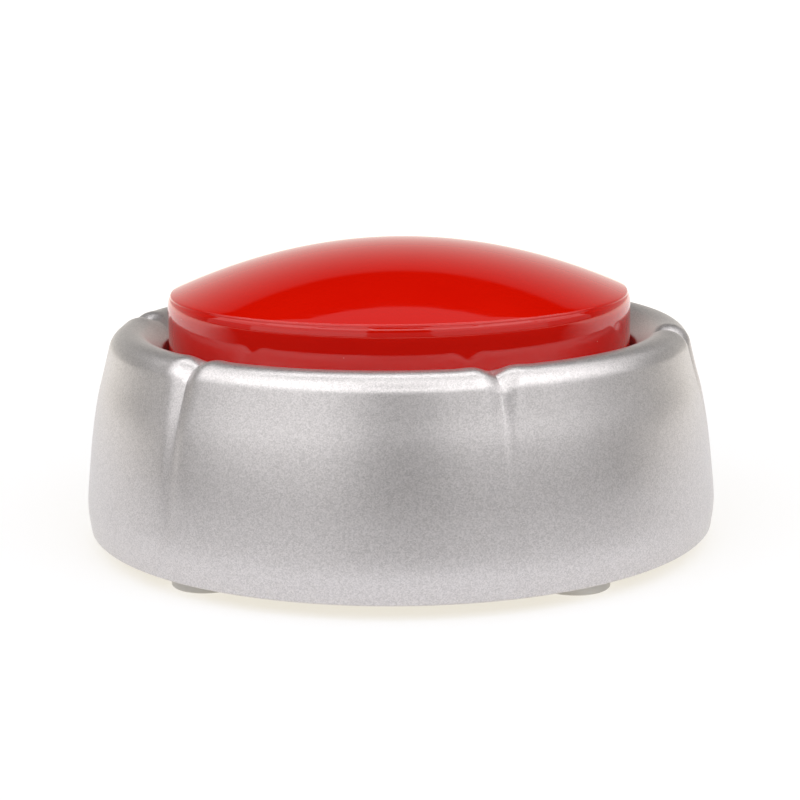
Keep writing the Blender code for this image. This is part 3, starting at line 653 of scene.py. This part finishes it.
BACKDROP_TOP = 0.56             # sine of the elevation where the backdrop ends
BACKDROP_EDGE = 0.02            # the part of that sine over which its top edge fades out
BACKDROP_SIDES = (0.2, 0.95)    # Y of the directions where the backdrop starts and where it is full
BACKDROP_GLOW = 1.0
BACKDROP_GLOW_TOP = 0.14
BACKDROP_COLOUR = (1.0, 0.97, 0.90, 1.0)
ROOM_SEEN_GLOW = 1.2            # strength of the room as the camera sees it directly

# Dark cloth on the table, in metres: it fades in with the distance from the object and towards the front
CLOTH_RADIUS = (0.115, 0.16)
CLOTH_REAR_Y = (0.06, -0.05)


def studio():
    """A white table with a bright sweep behind it, softboxes round it and a dark cloth in front of it."""
    white_table()
    dark_cloth()
    for name, elevation, azimuths, radiance in SOFTBOX_ARCS:
        across = SOFTBOX_DISTANCE * cos(radians(elevation))
        wide = 2.0 * across * tan(radians(PANEL_WIDE / 2.0))
        high = 2.0 * SOFTBOX_DISTANCE * tan(radians(PANEL_HIGH / 2.0))
        for azimuth in azimuths:
            at = polar(across, azimuth, SOFTBOX_DISTANCE * sin(radians(elevation)))
            softbox(f"{name}_{azimuth:.0f}", at, (wide, high), radiance, PANEL_AIM)
    for name, near, far, half, radiance in OVERHEADS:
        y = (near + far) / 2.0
        softbox(name, (0.0, y, OVERHEAD_HEIGHT), (2.0 * half, far - near), radiance, (0.0, y, 0.0))
    sweep()


def white_table():
    """Table top that glows with painted light in place of a lit table: faintly warm, so the shade under the
    object keeps a warm tint, and more of it far away from the lamps.
    """
    floor = plate("floor", 0.0, 12.0, 12.0)
    floor.location.z = -0.02 * MM
    look = Look("floor", (0.16, 0.20, 0.30), 0.9)
    # painted light: the table glows warm, weaker close to the object and stronger far away
    look.shader.inputs["Emission Color"].default_value = (1.0, 0.94, 0.81, 1.0)
    distance = look.node("ShaderNodeVectorMath", operation="LENGTH")
    look.link(look.place, distance.inputs[0])
    glow = look.ramp(distance.outputs["Value"], *FLOOR_GLOW_RISE, FLOOR_GLOW, FLOOR_GLOW_FAR)
    look.link(glow, look.shader.inputs["Emission Strength"])
    floor.data.materials.append(look.material)


def plate(name, y, wide, deep):
    """Flat rectangle in the room, in metres, with its middle at y."""
    mesh = bpy.data.meshes.new(name)
    bm = bmesh.new()
    bmesh.ops.create_grid(bm, x_segments=1, y_segments=1, size=0.5)
    bmesh.ops.scale(bm, verts=bm.verts, vec=(wide, deep, 1.0))
    bmesh.ops.translate(bm, verts=bm.verts, vec=(0.0, y, 0.0))
    bm.to_mesh(mesh)
    bm.free()
    made = bpy.data.objects.new(name, mesh)
    bpy.context.scene.collection.objects.link(made)
    return made


def dark_cloth():
    """Black cloth on the table in front of the object, seen only as a soft dark reflection."""
    cloth = plate("dark_cloth", -0.5, 2.4, 1.2)
    cloth.location.z = 0.001
    cloth.visible_camera = False
    cloth.visible_shadow = False
    look = Look("dark_cloth", (0.01, 0.01, 0.01), 1.0)
    split = look.node("ShaderNodeSeparateXYZ")
    look.link(look.place, split.inputs["Vector"])
    distance = look.node("ShaderNodeVectorMath", operation="LENGTH")
    look.link(look.place, distance.inputs[0])
    both = look.node("ShaderNodeMath", operation="MULTIPLY")
    look.link(look.ramp(distance.outputs["Value"], *CLOTH_RADIUS, 0.0, 1.0), both.inputs[0])
    look.link(look.ramp(split.outputs["Y"], *CLOTH_REAR_Y, 0.0, 1.0), both.inputs[1])
    look.link(both.outputs["Value"], look.shader.inputs["Alpha"])
    cloth.data.materials.append(look.material)


def softbox(name, at, size, radiance, aim):
    data = bpy.data.lights.new(name, "AREA")
    data.shape = "RECTANGLE"
    data.size, data.size_y = size
    data.energy = radiance * pi * size[0] * size[1]
    light = bpy.data.objects.new(name, data)
    light.location = at
    light.rotation_mode = "QUATERNION"
    light.rotation_quaternion = (Vector(aim) - Vector(at)).to_track_quat("-Z", "Y")
    light.visible_camera = False
    bpy.context.scene.collection.objects.link(light)


def sweep():
    """The room: a white sweep behind the table that fades upwards to a sharp top edge. The rest is dark.

    Seen directly, the room is plain and pale in every direction.
    """
    world = bpy.data.worlds.new("studio")
    world.use_nodes = True
    bpy.context.scene.world = world
    tree = world.node_tree

    def maths(operation, first, second):
        made = tree.nodes.new("ShaderNodeMath")
        made.operation = operation
        for value, socket in zip((first, second), made.inputs):
            tree.links.new(value, socket)
        return made.outputs["Value"]

    split = tree.nodes.new("ShaderNodeSeparateXYZ")
    tree.links.new(tree.nodes.new("ShaderNodeTexCoord").outputs["Generated"], split.inputs["Vector"])
    up, back = split.outputs["Z"], split.outputs["Y"]
    fade = map_range(tree, up, 0.0, BACKDROP_TOP, BACKDROP_GLOW, BACKDROP_GLOW_TOP)
    edge = map_range(tree, up, BACKDROP_TOP, BACKDROP_TOP + BACKDROP_EDGE, 1.0, 0.0)
    behind = map_range(tree, back, *BACKDROP_SIDES, 0.0, 1.0)
    backdrop = maths("MULTIPLY", maths("MULTIPLY", fade, edge), behind)
    seen_directly = tree.nodes.new("ShaderNodeLightPath").outputs["Is Camera Ray"]
    direct = map_range(tree, seen_directly, 0.0, 1.0, 0.0, ROOM_SEEN_GLOW)
    seen = maths("MAXIMUM", backdrop, direct)
    background = tree.nodes["Background"]
    background.inputs["Color"].default_value = BACKDROP_COLOUR
    tree.links.new(seen, background.inputs["Strength"])


def camera():
    data = bpy.data.cameras.new("camera")
    data.lens = CAMERA_LENS
    data.clip_start = 0.01
    made = bpy.data.objects.new("camera", data)
    made.location = [v * MM for v in CAMERA_AT]
    pitch = Matrix.Rotation(radians(90.0 - CAMERA_PITCH), 4, "X")
    roll = Matrix.Rotation(radians(CAMERA_ROLL), 4, "Z")
    made.rotation_euler = (pitch @ roll).to_euler()
    bpy.context.scene.collection.objects.link(made)
    bpy.context.scene.camera = made
    bpy.context.scene.view_settings.view_transform = "Standard"


def carried_over():
    """CAD nodes whose shape is right keep it and get their material."""
    slots = {row["node"]: row["material_slot"] for row in frame["record"]["subparts"]}
    for name, node in frame["nodes"].items():
        node.data.materials.clear()
        node.data.materials.append(LOOKS[slots[name]])


camera()
carried_over()
housing_ring()
button()
feet()
screws()
springs()
studio()
